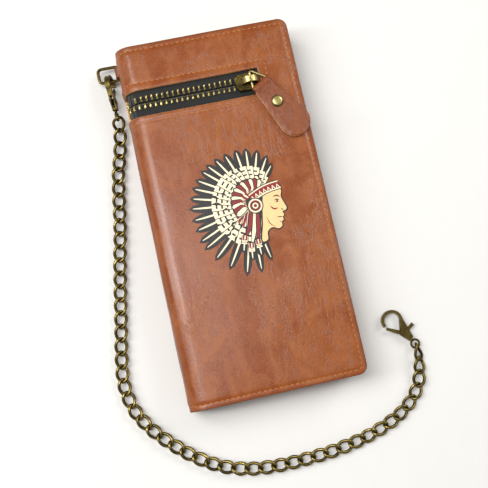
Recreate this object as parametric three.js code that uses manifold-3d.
// Long bifold chain wallet lying on its back, with its chain laid round it.
// Millimetres. +X points to the opening edge, -X to the spine, +Y to the zip end and
// +Z out of the front cover. The origin is under the middle of the wallet, on the table.
import * as THREE from 'three';
import { mergeVertices } from 'three/addons/utils/BufferGeometryUtils.js';
import Module from 'manifold-3d';

const wasm = await Module();
wasm.setup();

// Driving dimensions.
const WIDTH = 94;
const LENGTH = 195;
const THICK = 24;
const LEATHER = 1.6;
const LINING = 0.6;
const PANEL = 0.7;
const GAP = 0.3;
const CORNER = 5;
const SPINE_RADIUS = 9;

const HALF_W = WIDTH / 2;
const HALF_L = LENGTH / 2;
const SPINE_X = SPINE_RADIUS - HALF_W;
const HINGE_REACH = SPINE_RADIUS * Math.SQRT1_2;
const HINGE_X = SPINE_X - HINGE_REACH;
const ARC_STEPS = 12;

// Inner layers.
const LAYER_LEFT = -33;
const LAYER_RIGHT = HALF_W - 1.5;
const LAYER_END = HALF_L - 2;
const GUSSET = 3.5;
const BACK_LINING_Z = LEATHER + GAP;
const BACK_GUSSET_Z = [2.7, 6.9];
const BACK_DIVIDER_Z = 7.1;
const SLOT_PITCH_Z = 0.85;
const SLOT_STEP_X = 9;
const SLOT_INSET = 3;
const BACK_SLOT_Z = 7.95;
const BACK_SLOTS = 4;
const FRONT_SLOT_Z = 12.4;
const FRONT_SLOTS = 3;
const FRONT_SLOT_STEP_X = 11.7;
const FRONT_DIVIDER_Z = 14.95;
const FRONT_LINING_Z = THICK - LEATHER - GAP - LINING;
const FRONT_GUSSET_Z = [FRONT_DIVIDER_Z + PANEL + 0.15, FRONT_LINING_Z - 0.2];
const FRONT_EDGE_GUSSET = 1.2;
const FRONT_END_GUSSET = 0.9;

// Zip pocket.
const ZIP_Y = 66;
const WINDOW_LOW = 58.3;
const WINDOW_HIGH = 72.7;
const WINDOW_RIGHT = 26;
const WINDOW_SPINE_Z = 7;
const TAPE_HALF = 12;
const TAPE_INNER = 3.4;
const TAPE_RIGHT = 30.5;
const TAPE_DEPTH = THICK - FRONT_LINING_Z - LINING / 2;
const TOOTH_PITCH = 2.85;
const TOOTH_WIDTH = 1.25;
const TOOTH_GAP = 0.45;
const TOOTH_REACH = 3.1;
const TOOTH_HEIGHT = 2.4;
const TEETH_CORD = 0.9;
const TEETH_SHORT = 2.5;
const TEETH_RIGHT = 22.4;
const BOTTOM_STOP = { back: 1.2, half: 1.2, rise: 0.8 };
const TOP_STOP = { x0: 25.6, x1: 27.4, near: 0.7, depth: 1 };
const BAG_WALL = 0.6;
const BAG = { x0: LAYER_LEFT, x1: 43.9, y0: 22, y1: 94.3, z0: 15.95, z1: 21.2 };

// Zip slider, with its wire pull loop and leather tab.
const SLIDER = { x0: 13, x1: 25, half: 4.7, low: 19.5, high: 24.5, plate: 0.8 };
const ARCH = { x0: 16.3, x1: 24.9, half: 1.4, wall: 1.2 };
const LOOP_Z = 27;
const LOOP_WIRE = 0.65;
const LOOP_CORNERS = [[20.6, 71.2], [21, 59], [30.7, 64.7]];
const TAB_LENGTH = 34;
const TAB_PLY = 1.35;
const TAB_SLOPE = THREE.MathUtils.degToRad(2.4);

// Chain and clasps.
const CHAIN_WIDTH = 7.4;
const CHAIN_HEIGHT = 4.6;
const CHAIN_Z = 2.6;
const CHAIN_SIDES = 8;
const CHAIN_STEPS = 44;
const CLASP_THICK = 2.6;
const NEAR_EYE = [-52.6, 66.2, 6.2];
const NEAR_LEAN = THREE.MathUtils.degToRad(75);
const FAR_EYE = [79.9, -88.9, 2.2];
const FAR_TURN = THREE.MathUtils.degToRad(124);
const D_RING = { y0: 86.4, y1: 94.4, x0: -58, x1: -46.6, z: 5.2, wire: 0.9, corner: 2.4 };
const RING_TAB = { x0: -35, half: 1.3, taperX: -43, waistX: -46, clear: 0.25, ply: 1.1, inset: 1.4 };
const TAB_SLIT = { x0: -50, x1: -39.5, margin: 1.3, z0: 2.4, z1: 8.8 };

const leather = { color: 0x9f5725, roughness: 0.5, metalness: 0 };
const suede = { color: 0x8a5a34, roughness: 0.9, metalness: 0 };
const cloth = { color: 0x2c2622, roughness: 0.95, metalness: 0 };
const brass = { color: 0xa08a52, roughness: 0.35, metalness: 1 };

const wallet = new THREE.Group();

function solidOf(geometry) {
  const bare = geometry.clone();
  bare.deleteAttribute('normal');
  bare.deleteAttribute('uv');
  const merged = mergeVertices(bare.index ? bare.toNonIndexed() : bare, 1e-4);
  const mesh = new wasm.Mesh({
    numProp: 3,
    vertProperties: new Float32Array(merged.attributes.position.array),
    triVerts: new Uint32Array(merged.index.array),
  });
  return new wasm.Manifold(mesh);
}

function geometryOf(solid) {
  const mesh = solid.getMesh();
  const geometry = new THREE.BufferGeometry();
  geometry.setAttribute('position', new THREE.BufferAttribute(new Float32Array(mesh.vertProperties), 3));
  geometry.setIndex(new THREE.BufferAttribute(new Uint32Array(mesh.triVerts), 1));
  geometry.computeVertexNormals();
  return geometry;
}

function addPart(name, shape, finish, parent = wallet) {
  const geometry = shape.isBufferGeometry ? shape : geometryOf(shape);
  const mesh = new THREE.Mesh(geometry, new THREE.MeshStandardMaterial(finish));
  mesh.name = name;
  parent.add(mesh);
  return mesh;
}

function boxSolid(x0, x1, y0, y1, z0, z1) {
  const geometry = new THREE.BoxGeometry(x1 - x0, y1 - y0, z1 - z0);
  geometry.translate((x0 + x1) / 2, (y0 + y1) / 2, (z0 + z1) / 2);
  return solidOf(geometry);
}

// A flat shape in X and Y, given thickness from z0 to z1.
function plateSolid(shape, z0, z1, curveSegments = 6) {
  const geometry = new THREE.ExtrudeGeometry(shape, { depth: z1 - z0, bevelEnabled: false, curveSegments });
  geometry.translate(0, 0, z0);
  return solidOf(geometry);
}

// A profile in X and Z, drawn out along Y from y0 to y1.
function profileSolid(shape, y0, y1, curveSegments = ARC_STEPS) {
  const geometry = new THREE.ExtrudeGeometry(shape, { depth: y1 - y0, bevelEnabled: false, curveSegments });
  geometry.rotateX(Math.PI / 2);
  geometry.translate(0, y1, 0);
  return solidOf(geometry);
}

function rodSolid(radius, from, to, sides = 12) {
  const start = new THREE.Vector3(...from);
  const along = new THREE.Vector3(...to).sub(start);
  const geometry = new THREE.CylinderGeometry(radius, radius, along.length(), sides);
  geometry.translate(0, along.length() / 2, 0);
  geometry.applyQuaternion(new THREE.Quaternion().setFromUnitVectors(
    new THREE.Vector3(0, 1, 0), along.normalize()));
  geometry.translate(start.x, start.y, start.z);
  return solidOf(geometry);
}

// A closed wire loop through rounded corners, with a round section.
function wireLoop(corners, z, wire, corner, steps, sides = 8) {
  const path = new THREE.CurvePath();
  const points = corners.map(([x, y]) => new THREE.Vector3(x, y, z));
  const count = points.length;
  const cut = (from, to) => from.clone().add(to.clone().sub(from).setLength(corner));
  for (let i = 0; i < count; i += 1) {
    const here = points[i];
    const before = points[(i + count - 1) % count];
    const after = points[(i + 1) % count];
    path.add(new THREE.QuadraticBezierCurve3(cut(here, before), here, cut(here, after)));
    path.add(new THREE.LineCurve3(cut(here, after), cut(after, here)));
  }
  const centres = path.getSpacedPoints(steps).slice(0, steps);
  const round = new THREE.CatmullRomCurve3(centres, true, 'centripetal');
  return solidOf(new THREE.TubeGeometry(round, steps, wire, sides, true));
}

// Part of the rounded spine leather, from one angle to another about an arc's centre.
function arcBand(centreZ, outer, inner, from, to) {
  const shape = new THREE.Shape();
  shape.absarc(SPINE_X, centreZ, outer, from, to, false);
  shape.absarc(SPINE_X, centreZ, inner, to, from, true);
  shape.closePath();
  return shape;
}

// A cover's outline: square at the spine, rounded at the opening edge.
function coverShape() {
  const shape = new THREE.Shape();
  shape.moveTo(SPINE_X, -HALF_L);
  shape.lineTo(HALF_W - CORNER, -HALF_L);
  shape.absarc(HALF_W - CORNER, -HALF_L + CORNER, CORNER, -Math.PI / 2, 0, false);
  shape.lineTo(HALF_W, HALF_L - CORNER);
  shape.absarc(HALF_W - CORNER, HALF_L - CORNER, CORNER, 0, Math.PI / 2, false);
  shape.lineTo(SPINE_X, HALF_L);
  shape.closePath();
  return shape;
}

// The covers meet the spine piece at the middle of each arc, half a gap either side.
const HINGE_SLACK = GAP / 2 / SPINE_RADIUS;
const ARC_LAP = 0.02;
const HIGH_ARC_Z = THICK - SPINE_RADIUS;
const ARC_MID_HIGH = Math.PI * 0.75;
const ARC_MID_LOW = Math.PI * 1.25;
const INNER_RADIUS = SPINE_RADIUS - LEATHER;
const WALL_LAP = 0.05;
const BACKING_GAP = 1.6;

// The rectangular slit that the D-ring's tab comes through.
const tabSlit = boxSolid(TAB_SLIT.x0, TAB_SLIT.x1, D_RING.y0 - TAB_SLIT.margin, D_RING.y1 + TAB_SLIT.margin,
  TAB_SLIT.z0, TAB_SLIT.z1);

function buildBack() {
  const arc = arcBand(SPINE_RADIUS, SPINE_RADIUS, INNER_RADIUS, ARC_MID_LOW + HINGE_SLACK, Math.PI * 1.5 + ARC_LAP);
  const cover = plateSolid(coverShape(), 0, LEATHER)
    .add(profileSolid(arc, -HALF_L, HALF_L))
    .subtract(tabSlit);
  addPart('back_cover', cover, leather);
  addPart('back_lining', boxSolid(LAYER_LEFT, LAYER_RIGHT, -LAYER_END, LAYER_END,
    BACK_LINING_Z, BACK_LINING_Z + LINING), cloth);
  const [low, high] = BACK_GUSSET_Z;
  addPart('back_edge_gusset', boxSolid(LAYER_RIGHT - GUSSET, LAYER_RIGHT, -LAYER_END, LAYER_END, low, high), suede);
  const endRight = LAYER_RIGHT - GUSSET - GAP;
  addPart('back_end_gusset_upper', boxSolid(LAYER_LEFT, endRight, LAYER_END - GUSSET, LAYER_END, low, high), suede);
  addPart('back_end_gusset_lower', boxSolid(LAYER_LEFT, endRight, -LAYER_END, GUSSET - LAYER_END, low, high), suede);
  addPart('back_divider', boxSolid(LAYER_LEFT, LAYER_RIGHT, -LAYER_END, LAYER_END,
    BACK_DIVIDER_Z, BACK_DIVIDER_Z + PANEL), suede);
  for (let i = 0; i < BACK_SLOTS; i += 1) {
    const z = BACK_SLOT_Z + i * SLOT_PITCH_Z;
    const left = LAYER_LEFT + SLOT_INSET + i * SLOT_STEP_X;
    addPart(`back_card_slot_${i + 1}`, boxSolid(left, LAYER_RIGHT, -LAYER_END, LAYER_END, z, z + PANEL), leather);
  }
}

function buildDRing() {
  const { x0, x1, y0, y1, z, wire, corner } = D_RING;
  addPart('d_ring', wireLoop([[x0, y0], [x1, y0], [x1, y1], [x0, y1]], z, wire, corner, 48), brass);
  // The strap is folded round the ring's straight bar, and both plies go in through the slit.
  const inner = wire + RING_TAB.clear;
  const outer = inner + RING_TAB.ply;
  const profile = new THREE.Shape();
  profile.moveTo(RING_TAB.x0, z - RING_TAB.half);
  profile.lineTo(RING_TAB.x0, z + RING_TAB.half);
  profile.lineTo(RING_TAB.taperX, z + RING_TAB.half);
  profile.lineTo(RING_TAB.waistX, z + outer);
  profile.absarc(x1, z, outer, Math.PI * 0.48, Math.PI * 1.52, false);
  profile.lineTo(RING_TAB.taperX, z - RING_TAB.half);
  profile.closePath();
  const bore = new THREE.Path();
  bore.absarc(x1, z, inner, 0, Math.PI * 2, true);
  profile.holes.push(bore);
  addPart('d_ring_tab', profileSolid(profile, y0 + RING_TAB.inset, y1 - RING_TAB.inset, 10), leather);
}

// Where the zip runs: flat under the front leather, then round the arc and down the spine.
// Gives a place and the outward direction's angle for a distance along it from the arc.
function zipTrack(distance, depth) {
  const radius = SPINE_RADIUS - depth;
  const pitchRadius = SPINE_RADIUS - TAPE_DEPTH;
  const quarter = pitchRadius * Math.PI / 2;
  if (distance <= 0) return { x: SPINE_X - distance, z: THICK - depth, angle: Math.PI / 2 };
  if (distance <= quarter) {
    const angle = Math.PI / 2 + distance / pitchRadius;
    return { x: SPINE_X + radius * Math.cos(angle), z: HIGH_ARC_Z + radius * Math.sin(angle), angle };
  }
  return { x: SPINE_X - radius, z: HIGH_ARC_Z - (distance - quarter), angle: Math.PI };
}

// Distances along the zip where the front's stretch ends and the spine's begins.
const TRACK_HINGE = (SPINE_RADIUS - TAPE_DEPTH) * Math.PI / 4;
const TRACK_END = (SPINE_RADIUS - TAPE_DEPTH) * Math.PI / 2 + HIGH_ARC_Z - WINDOW_SPINE_Z;
const TRACK_RIGHT = SPINE_X - TAPE_RIGHT;

function tapeSolid(from, to, y0, y1) {
  const shape = new THREE.Shape();
  const steps = 14;
  const depths = [TAPE_DEPTH - LINING / 2, TAPE_DEPTH + LINING / 2];
  const stations = [from];
  for (let i = 0; i <= steps; i += 1) {
    const at = (TRACK_END * i) / steps;
    if (at > from && at < to) stations.push(at);
  }
  stations.push(to);
  const outer = stations.map((s) => zipTrack(s, depths[0]));
  const inner = stations.map((s) => zipTrack(s, depths[1])).reverse();
  [...outer, ...inner].forEach((p, i) => (i ? shape.lineTo(p.x, p.z) : shape.moveTo(p.x, p.z)));
  shape.closePath();
  return profileSolid(shape, y0, y1, 1);
}

// A row of teeth joined by the corded edge that they are clamped on.
function toothRow(from, to, side, offset) {
  const near = ZIP_Y + side * TOOTH_GAP;
  const far = ZIP_Y + side * TOOTH_REACH;
  const [y0, y1] = side > 0 ? [near, far] : [far, near];
  const cordNear = ZIP_Y + side * (TOOTH_REACH - TEETH_CORD);
  const [c0, c1] = side > 0 ? [cordNear, far] : [far, cordNear];
  let row = tapeSolid(from, to, c0, c1);
  const first = Math.ceil((from + TOOTH_WIDTH - offset) / TOOTH_PITCH);
  for (let i = first; offset + i * TOOTH_PITCH + TOOTH_WIDTH < to; i += 1) {
    const { x, z, angle } = zipTrack(offset + i * TOOTH_PITCH, TAPE_DEPTH);
    const tooth = new THREE.BoxGeometry(TOOTH_WIDTH, y1 - y0, TOOTH_HEIGHT);
    tooth.rotateY(Math.PI / 2 - angle);
    tooth.translate(x, (y0 + y1) / 2, z);
    row = row.add(solidOf(tooth));
  }
  return row;
}

function buildSpine() {
  const high = arcBand(HIGH_ARC_Z, SPINE_RADIUS, INNER_RADIUS, ARC_MID_HIGH + HINGE_SLACK, Math.PI + ARC_LAP);
  const low = arcBand(SPINE_RADIUS, SPINE_RADIUS, INNER_RADIUS, Math.PI - ARC_LAP, ARC_MID_LOW - HINGE_SLACK);
  const wall = boxSolid(-HALF_W, -HALF_W + LEATHER, -HALF_L, HALF_L, SPINE_RADIUS - WALL_LAP, HIGH_ARC_Z + WALL_LAP);
  const window = boxSolid(-HALF_W - 1, HINGE_X + 4, WINDOW_LOW, WINDOW_HIGH, WINDOW_SPINE_Z, THICK);
  const cover = wall
    .add(profileSolid(high, -HALF_L, HALF_L))
    .add(profileSolid(low, -HALF_L, HALF_L))
    .subtract(window)
    .subtract(tabSlit);
  addPart('spine_cover', cover, leather);

  // The lining is a sheet behind the leather and a sheet behind the zip, joined at both ends.
  const nearX = -HALF_W + LEATHER + GAP;
  const farX = nearX + LINING + BACKING_GAP;
  const z0 = SPINE_RADIUS - 1;
  const z1 = HIGH_ARC_Z + 1;
  const tapeCut = boxSolid(nearX - 1, nearX + 2, ZIP_Y - TAPE_HALF - GAP, ZIP_Y + TAPE_HALF + GAP, 0, THICK);
  const lining = boxSolid(nearX, nearX + LINING, -LAYER_END, LAYER_END, z0, z1)
    .subtract(tapeCut)
    .add(boxSolid(farX, farX + LINING, -LAYER_END, LAYER_END, z0, z1))
    .add(boxSolid(nearX, farX + LINING, -LAYER_END, 1 - LAYER_END, z0, z1))
    .add(boxSolid(nearX, farX + LINING, LAYER_END - 1, LAYER_END, z0, z1));
  addPart('spine_lining', lining, cloth);

  const from = TRACK_HINGE + GAP / 2;
  const teethEnd = TRACK_END - TEETH_SHORT;
  addPart('spine_zip_tape_upper', tapeSolid(from, TRACK_END, ZIP_Y + TAPE_INNER, ZIP_Y + TAPE_HALF), cloth);
  addPart('spine_zip_tape_lower', tapeSolid(from, TRACK_END, ZIP_Y - TAPE_HALF, ZIP_Y - TAPE_INNER), cloth);
  addPart('spine_zip_teeth_upper', toothRow(from, teethEnd, 1, 0), brass);
  addPart('spine_zip_teeth_lower', toothRow(from, teethEnd, -1, TOOTH_PITCH / 2), brass);
  const stop = zipTrack(TRACK_END - BOTTOM_STOP.back, TAPE_DEPTH);
  addPart('zip_bottom_stop', boxSolid(stop.x - BOTTOM_STOP.half, stop.x + BOTTOM_STOP.half,
    ZIP_Y - TOOTH_REACH, ZIP_Y + TOOTH_REACH, stop.z - BOTTOM_STOP.rise, stop.z + BOTTOM_STOP.rise), brass);
}

function buildFront() {
  const arc = arcBand(HIGH_ARC_Z, SPINE_RADIUS, INNER_RADIUS, Math.PI / 2 - ARC_LAP, ARC_MID_HIGH - HINGE_SLACK);
  const window = boxSolid(-HALF_W - 1, WINDOW_RIGHT, WINDOW_LOW, WINDOW_HIGH, THICK - SPINE_RADIUS, THICK + 1);
  const cover = plateSolid(coverShape(), THICK - LEATHER, THICK)
    .add(profileSolid(arc, -HALF_L, HALF_L))
    .subtract(window);
  addPart('front_cover', cover, leather);
  const tapeCut = boxSolid(LAYER_LEFT - 1, TAPE_RIGHT + GAP, ZIP_Y - TAPE_HALF - GAP, ZIP_Y + TAPE_HALF + GAP, 0, THICK);
  addPart('front_lining', boxSolid(LAYER_LEFT, LAYER_RIGHT, -LAYER_END, LAYER_END,
    FRONT_LINING_Z, FRONT_LINING_Z + LINING).subtract(tapeCut), cloth);
  const [low, high] = FRONT_GUSSET_Z;
  const endRight = LAYER_RIGHT - FRONT_EDGE_GUSSET - GAP;
  addPart('front_edge_gusset', boxSolid(LAYER_RIGHT - FRONT_EDGE_GUSSET, LAYER_RIGHT, -LAYER_END, LAYER_END,
    low, high), suede);
  addPart('front_end_gusset_upper', boxSolid(LAYER_LEFT, endRight, LAYER_END - FRONT_END_GUSSET, LAYER_END,
    low, high), suede);
  addPart('front_end_gusset_lower', boxSolid(LAYER_LEFT, endRight, -LAYER_END, FRONT_END_GUSSET - LAYER_END,
    low, high), suede);
  addPart('front_divider', boxSolid(LAYER_LEFT, LAYER_RIGHT, -LAYER_END, LAYER_END,
    FRONT_DIVIDER_Z, FRONT_DIVIDER_Z + PANEL), suede);
  for (let i = 0; i < FRONT_SLOTS; i += 1) {
    const z = FRONT_SLOT_Z + (FRONT_SLOTS - 1 - i) * SLOT_PITCH_Z;
    const left = LAYER_LEFT + SLOT_INSET + i * FRONT_SLOT_STEP_X;
    addPart(`front_card_slot_${i + 1}`, boxSolid(left, LAYER_RIGHT, -LAYER_END, LAYER_END, z, z + PANEL), leather);
  }
  const sliderWay = boxSolid(BAG.x0 - 1, BAG.x0 + 2, ZIP_Y - SLIDER.half - GAP, ZIP_Y + SLIDER.half + GAP,
    SLIDER.low - GAP, BAG.z1 + 1);
  const inside = boxSolid(BAG.x0 + BAG_WALL, BAG.x1 - BAG_WALL, BAG.y0 + BAG_WALL, BAG.y1 - BAG_WALL,
    BAG.z0 + BAG_WALL, BAG.z1 + 1);
  addPart('zip_bag', boxSolid(BAG.x0, BAG.x1, BAG.y0, BAG.y1, BAG.z0, BAG.z1)
    .subtract(inside)
    .subtract(sliderWay), cloth);
}

function buildZip() {
  const to = TRACK_HINGE - GAP / 2;
  addPart('zip_tape_upper', tapeSolid(TRACK_RIGHT, to, ZIP_Y + TAPE_INNER, ZIP_Y + TAPE_HALF), cloth);
  addPart('zip_tape_lower', tapeSolid(TRACK_RIGHT, to, ZIP_Y - TAPE_HALF, ZIP_Y - TAPE_INNER), cloth);
  const rowStart = SPINE_X - TEETH_RIGHT;
  addPart('zip_teeth_upper', toothRow(rowStart, to, 1, 0), brass);
  addPart('zip_teeth_lower', toothRow(rowStart, to, -1, TOOTH_PITCH / 2), brass);
  const z = THICK - TAPE_DEPTH;
  const reach = (TOOTH_REACH + TOP_STOP.near) / 2;
  const half = (TOOTH_REACH - TOP_STOP.near) / 2;
  for (const [name, side] of [['zip_top_stop_upper', 1], ['zip_top_stop_lower', -1]]) {
    const y = ZIP_Y + side * reach;
    addPart(name, boxSolid(TOP_STOP.x0, TOP_STOP.x1, y - half, y + half, z - TOP_STOP.depth, z + LINING / 2), brass);
  }
}

function buildSlider() {
  const { x0, x1, half, low, high, plate } = SLIDER;
  const y0 = ZIP_Y - half;
  const y1 = ZIP_Y + half;
  const outline = new THREE.Shape();
  outline.moveTo(x0, y0 + 1.4);
  outline.lineTo(x0 + 3, y0);
  outline.lineTo(x1 - 2, y0);
  outline.lineTo(x1, y0 + 2);
  outline.lineTo(x1, y1 - 2);
  outline.lineTo(x1 - 2, y1);
  outline.lineTo(x0 + 3, y1);
  outline.lineTo(x0, y1 - 1.4);
  outline.closePath();
  const bodyBlock = plateSolid(outline, low, high);
  const inside = boxSolid(x0 - 1, x1 + 1, ZIP_Y - TOOTH_REACH - GAP, ZIP_Y + TOOTH_REACH + GAP,
    low + plate, high - plate);
  const tapeZ = THICK - TAPE_DEPTH;
  const tapeGap = boxSolid(x0 - 1, x1 + 1, y0 - 1, y1 + 1, tapeZ - LINING / 2 - GAP, tapeZ + LINING / 2 + GAP);
  const post = boxSolid(x1 - 2.3, x1 - 0.5, ZIP_Y - 0.14, ZIP_Y + 0.14, low + 0.2, high - 0.2);
  const arch = new THREE.Shape();
  const middle = (ARCH.x0 + ARCH.x1) / 2;
  const reach = (ARCH.x1 - ARCH.x0) / 2;
  const rise = LOOP_Z + LOOP_WIRE + 2 * GAP + ARCH.wall - high;
  arch.absellipse(middle, high, reach, rise, 0, Math.PI, false, 0);
  arch.lineTo(ARCH.x0, high - 0.3);
  arch.lineTo(ARCH.x1, high - 0.3);
  arch.closePath();
  const hollow = new THREE.Shape();
  hollow.absellipse(middle, high, reach - ARCH.wall, rise - ARCH.wall, 0, Math.PI, false, 0);
  hollow.closePath();
  const crown = profileSolid(arch, ZIP_Y - ARCH.half, ZIP_Y + ARCH.half)
    .subtract(profileSolid(hollow, ZIP_Y - 5, ZIP_Y + 5));
  addPart('zip_slider', bodyBlock.subtract(inside).subtract(tapeGap).add(post).add(crown), brass);
  addPart('pull_loop', wireLoop(LOOP_CORNERS, LOOP_Z, LOOP_WIRE, 1.6, 40), brass);
}

// The tab's own frame: x along the tab from the wire, y along the wire, z up.
function buildPullTab() {
  const [, low, high] = LOOP_CORNERS;
  const bar = new THREE.Vector2(high[0] - low[0], high[1] - low[1]);
  const frame = new THREE.Group();
  frame.position.set((low[0] + high[0]) / 2, (low[1] + high[1]) / 2, LOOP_Z);
  frame.rotation.set(0, TAB_SLOPE, Math.atan2(bar.y, bar.x) - Math.PI / 2, 'ZYX');
  wallet.add(frame);

  const plies = TAB_PLY * 2;
  const foldHalf = 3.6;
  const outline = new THREE.Shape();
  outline.moveTo(0, -foldHalf);
  outline.lineTo(3, -5.6);
  outline.lineTo(25, -8.4);
  outline.bezierCurveTo(31, -8.6, TAB_LENGTH, -5.5, TAB_LENGTH, 0);
  outline.bezierCurveTo(TAB_LENGTH, 5.5, 31, 8.6, 25, 8.4);
  outline.lineTo(3, 5.6);
  outline.lineTo(0, foldHalf);
  outline.closePath();
  const plate = plateSolid(outline, -TAB_PLY, TAB_PLY, 8);
  const foldRadius = LOOP_WIRE + 0.25 + TAB_PLY;
  const fold = rodSolid(foldRadius, [0, -foldHalf, 0], [0, foldHalf, 0], 16);
  const bore = rodSolid(LOOP_WIRE + 0.25, [0, -20, 0], [0, 20, 0], 12);
  const shoulder = boxSolid(-foldRadius - 1, 2.2, -20, 20, -5, 5)
    .subtract(boxSolid(-foldRadius - 2, 2.3, -foldHalf, foldHalf, -6, 6));
  const rivetX = 12;
  const shaftHole = rodSolid(1.2, [rivetX, 0, -5], [rivetX, 0, 5], 12);
  addPart('pull_tab', plate.add(fold).subtract(shoulder).subtract(bore).subtract(shaftHole), leather, frame);

  const capProfile = [[0, 0.95], [0.9, 0.9], [2.1, 0.65], [2.85, 0.15], [3, -0.05], [0, -0.05]];
  const cap = new THREE.LatheGeometry(capProfile.map(([r, z]) => new THREE.Vector2(r, z)).reverse(), 20);
  cap.rotateX(Math.PI / 2);
  cap.translate(rivetX, 0, TAB_PLY + GAP);
  const shaft = rodSolid(0.8, [rivetX, 0, -TAB_PLY + 0.4], [rivetX, 0, TAB_PLY + GAP + 0.3], 12);
  addPart('pull_rivet_cap', solidOf(cap).add(shaft), brass, frame);
}

// One trigger clasp in its own frame: x from the swivel eye to the hook, y across, z through.
function buildClasp(name, frame) {
  const pin = [7.9, 0.5];
  const loop = [17.6, 0.2];
  const outer = 5.8;
  const inner = 4.3;
  const shoulderAngle = Math.PI * 0.67;
  const tipAngle = -Math.PI * 0.467;
  const half = CLASP_THICK / 2;
  const body = new THREE.Shape();
  body.moveTo(3.15, 1.1);
  body.lineTo(3.6, 1.9);
  body.lineTo(loop[0] + outer * Math.cos(shoulderAngle), loop[1] + outer * Math.sin(shoulderAngle));
  body.absarc(loop[0], loop[1], outer, shoulderAngle, tipAngle, true);
  body.absarc(loop[0], loop[1], inner, tipAngle, shoulderAngle + 0.1, false);
  body.lineTo(8.9, -2.2);
  body.lineTo(3.6, -1.1);
  body.lineTo(3.15, -1.1);
  body.closePath();
  const slot = boxSolid(4.7, 11.3, -8, 9, -0.75, 0.75);
  const neck = rodSolid(0.85, [2, 0, 0], [5.2, 0, 0], 12);
  const pinHole = rodSolid(0.95, [...pin, -5], [...pin, 5], 12);
  addPart(`${name}_frame`, plateSolid(body, -half, half, 14).subtract(slot).subtract(neck).subtract(pinHole),
    brass, frame);

  const gate = new THREE.Shape();
  const polar = (radius, degrees) => {
    const angle = THREE.MathUtils.degToRad(degrees);
    return [pin[0] + radius * Math.cos(angle), pin[1] + radius * Math.sin(angle)];
  };
  gate.moveTo(...polar(1.9, -80));
  gate.lineTo(...polar(4.5, -51));
  gate.lineTo(...polar(10.5, -36.5));
  gate.lineTo(...polar(10.5, -28.5));
  gate.lineTo(...polar(4, -24));
  gate.lineTo(...polar(1.9, 0));
  gate.lineTo(...polar(2.1, 55));
  gate.lineTo(...polar(4.4, 77));
  gate.lineTo(...polar(6.6, 79));
  gate.lineTo(...polar(6.7, 96));
  gate.lineTo(...polar(4.4, 98));
  gate.lineTo(...polar(1.7, 120));
  gate.lineTo(...polar(1.5, 190));
  gate.closePath();
  const gateHole = rodSolid(0.95, [...pin, -5], [...pin, 5], 12);
  addPart(`${name}_gate`, plateSolid(gate, -0.5, 0.5, 2).subtract(gateHole), brass, frame);
  const headFoot = half + 0.15;
  const headTop = half + 0.5;
  addPart(`${name}_pin`, rodSolid(0.65, [...pin, -headTop], [...pin, headTop], 12)
    .add(rodSolid(1.3, [...pin, headFoot], [...pin, headTop], 16))
    .add(rodSolid(1.3, [...pin, -headTop], [...pin, -headFoot], 16)), brass, frame);

  const spring = new THREE.Shape();
  const from = Math.PI * 0.86;
  const to = Math.PI * 1.22;
  spring.absarc(pin[0], pin[1], 2.5, from, to, false);
  spring.absarc(pin[0], pin[1], 2.15, to, from, true);
  spring.closePath();
  addPart(`${name}_spring`, plateSolid(spring, -0.4, 0.4, 8), brass, frame);

  const eye = new THREE.TorusGeometry(2.25, 0.6, 10, 24);
  addPart(`${name}_eye`, solidOf(eye).add(rodSolid(0.5, [2.2, 0, 0], [4.2, 0, 0], 10)), brass, frame);
}

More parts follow.
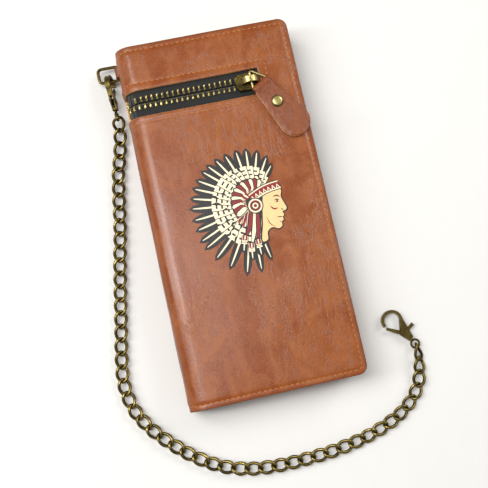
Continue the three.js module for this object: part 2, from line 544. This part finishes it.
function buildChain() {
  const route = [
    [-52.9, 63, 5.4], [-52.9, 60.8, 5], [-53, 58, 4.1], [-53.4, 54.5, 3.2], [-54.3, 50.5, CHAIN_Z],
    [-55.9, 44, CHAIN_Z], [-58.2, 36, CHAIN_Z], [-60, 26, CHAIN_Z], [-63.5, 5, CHAIN_Z],
    [-66.2, -8, CHAIN_Z], [-68.8, -21.5, CHAIN_Z], [-73.6, -48, CHAIN_Z], [-76.2, -62, CHAIN_Z],
    [-77.7, -74, CHAIN_Z], [-77.2, -82, CHAIN_Z], [-74.9, -91, CHAIN_Z], [-68.5, -102, CHAIN_Z],
    [-59.3, -112.1, CHAIN_Z], [-48.7, -121.3, CHAIN_Z], [-36.4, -128.8, CHAIN_Z],
    [-22.3, -133.4, CHAIN_Z], [-8, -135.1, CHAIN_Z], [8, -135.2, CHAIN_Z], [24, -134.2, CHAIN_Z],
    [40, -131.6, CHAIN_Z], [52, -128.2, CHAIN_Z], [62.5, -123.6, CHAIN_Z], [71.6, -116.6, CHAIN_Z],
    [76.8, -109, CHAIN_Z], [79.2, -101, CHAIN_Z], [80.1, -96, CHAIN_Z], [80.2, -92.1, CHAIN_Z],
  ];
  const curve = new THREE.CatmullRomCurve3(route.map((p) => new THREE.Vector3(...p)), false, 'centripetal');
  const section = new THREE.Shape();
  for (let i = 0; i < CHAIN_SIDES; i += 1) {
    const angle = ((i + 0.5) / CHAIN_SIDES) * Math.PI * 2;
    const x = (Math.cos(angle) * CHAIN_WIDTH) / 2;
    const y = (Math.sin(angle) * CHAIN_HEIGHT) / 2;
    if (i) section.lineTo(x, y);
    else section.moveTo(x, y);
  }
  section.closePath();
  addPart('chain', new THREE.ExtrudeGeometry(section, {
    steps: CHAIN_STEPS, extrudePath: curve, bevelEnabled: false, curveSegments: 1,
  }), brass);

  // The near clasp stands on its edge against the spine, and the far one lies on its side.
  buildClasp('near_clasp', claspFrame(NEAR_EYE, [0, 1, 0], [-Math.cos(NEAR_LEAN), 0, Math.sin(NEAR_LEAN)]));
  buildClasp('far_clasp', claspFrame(FAR_EYE, [Math.cos(FAR_TURN), Math.sin(FAR_TURN), 0],
    [Math.sin(FAR_TURN), -Math.cos(FAR_TURN), 0]));
}

function claspFrame(eye, along, across) {
  const frame = new THREE.Group();
  const x = new THREE.Vector3(...along);
  const y = new THREE.Vector3(...across);
  frame.position.set(...eye);
  frame.quaternion.setFromRotationMatrix(new THREE.Matrix4().makeBasis(x, y, x.clone().cross(y)));
  wallet.add(frame);
  return frame;
}

buildBack();
buildDRing();
buildSpine();
buildFront();
buildZip();
buildSlider();
buildPullTab();
buildChain();

export default wallet;
